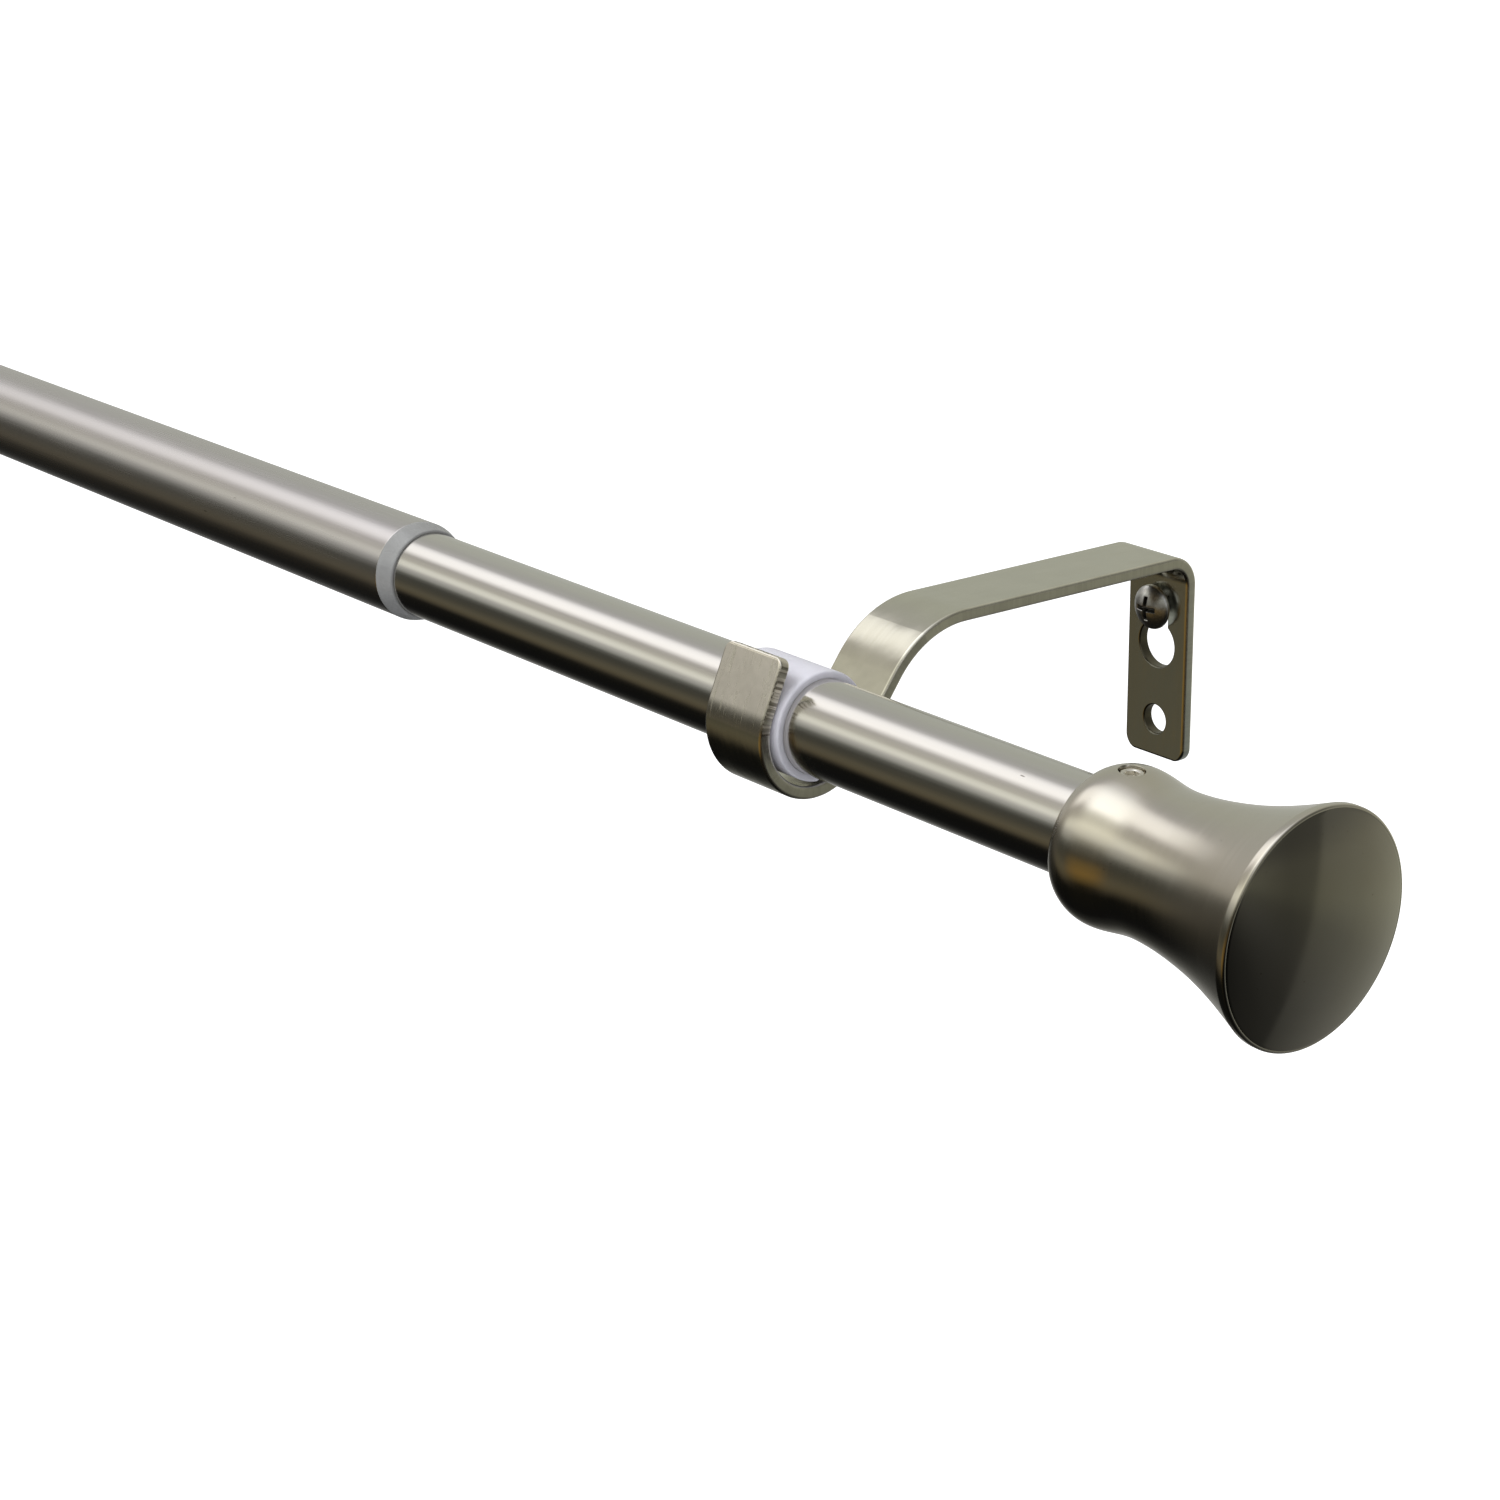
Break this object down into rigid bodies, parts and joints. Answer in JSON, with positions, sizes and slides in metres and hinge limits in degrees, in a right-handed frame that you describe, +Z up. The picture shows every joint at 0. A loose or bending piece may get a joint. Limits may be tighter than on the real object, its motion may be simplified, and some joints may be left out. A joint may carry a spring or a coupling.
{
  "type": "curtain rod with brackets",
  "caption": "Telescoping metal curtain rod resting in bent-strip wall brackets, with a trumpet-shaped finial at each end.",
  "frame": {"origin": "on the wall plane, level with the rod's axis, in the middle of the right bracket's wall plate", "axes": "+X along the rod towards the right finial, +Y into the wall, +Z up"},
  "size_m": [0.9136, 0.1127, 0.046],
  "materials": {
    "plated_strip": "semi-gloss nickel plate",
    "zinc_screw": "zinc plate",
    "brushed_tube": "satin nickel, brushed lengthwise",
    "ring_plastic": "translucent moulded",
    "guide_plastic": "moulded",
    "white_plastic": "translucent moulded",
    "brushed_finial": "satin nickel, brushed round the axis",
    "brushed_cap": "satin nickel, brushed across",
    "set_screw_steel": "bright plated"
  },
  "bodies": {
    "right_bracket": {"right_bracket": "plated_strip"},
    "right_wall_screw": {"right_wall_screw": "zinc_screw"},
    "left_bracket": {"left_bracket": "plated_strip"},
    "left_wall_screw": {"left_wall_screw": "zinc_screw"},
    "bracket_sleeve": {"bracket_sleeve": "white_plastic"},
    "inner_tube": {"inner_tube": "brushed_tube", "inner_tube_guide": "guide_plastic"},
    "outer_tube": {"outer_tube": "brushed_tube", "outer_tube_end_ring": "ring_plastic"},
    "right_finial": {"right_finial_body": "brushed_finial", "right_finial_cap": "brushed_cap"},
    "right_set_screw": {"right_set_screw": "set_screw_steel"},
    "left_finial": {"left_finial_body": "brushed_finial", "left_finial_cap": "brushed_cap"},
    "left_set_screw": {"left_set_screw": "set_screw_steel"}
  },
  "joints": [
    {"name": "rod_lift", "type": "slide", "parent": "right_bracket", "child": "bracket_sleeve", "axis": [0, 0.402, 0.9157], "range_m": [0, 0.05]},
    {"name": "rod_turn", "type": "hinge", "parent": "bracket_sleeve", "child": "inner_tube", "pos_m": [0, -0.0884, 0], "axis": [1, 0, 0], "continuous": true},
    {"name": "telescope", "type": "slide", "parent": "inner_tube", "child": "outer_tube", "axis": [-1, 0, 0], "range_m": [-0.06, 0.38]},
    {"name": "right_finial_pull", "type": "slide", "parent": "inner_tube", "child": "right_finial", "axis": [1, 0, 0], "range_m": [0, 0.03]},
    {"name": "right_set_screw_out", "type": "slide", "parent": "right_finial", "child": "right_set_screw", "axis": [0.0349, 0, 0.9994], "range_m": [0, 0.004]},
    {"name": "left_finial_pull", "type": "slide", "parent": "outer_tube", "child": "left_finial", "axis": [-1, 0, 0], "range_m": [0, 0.03]},
    {"name": "left_set_screw_out", "type": "slide", "parent": "left_finial", "child": "left_set_screw", "axis": [0, 0, 1], "range_m": [0, 0.004]},
    {"name": "bracket_spacing", "type": "slide", "parent": "right_bracket", "child": "left_bracket", "axis": [1, 0, 0], "range_m": [0, 0.06]},
    {"name": "right_wall_screw_out", "type": "slide", "parent": "right_bracket", "child": "right_wall_screw", "axis": [0, -1, 0], "range_m": [0, 0.014]},
    {"name": "left_wall_screw_out", "type": "slide", "parent": "left_bracket", "child": "left_wall_screw", "axis": [0, -1, 0], "range_m": [0, 0.014]}
  ]
}
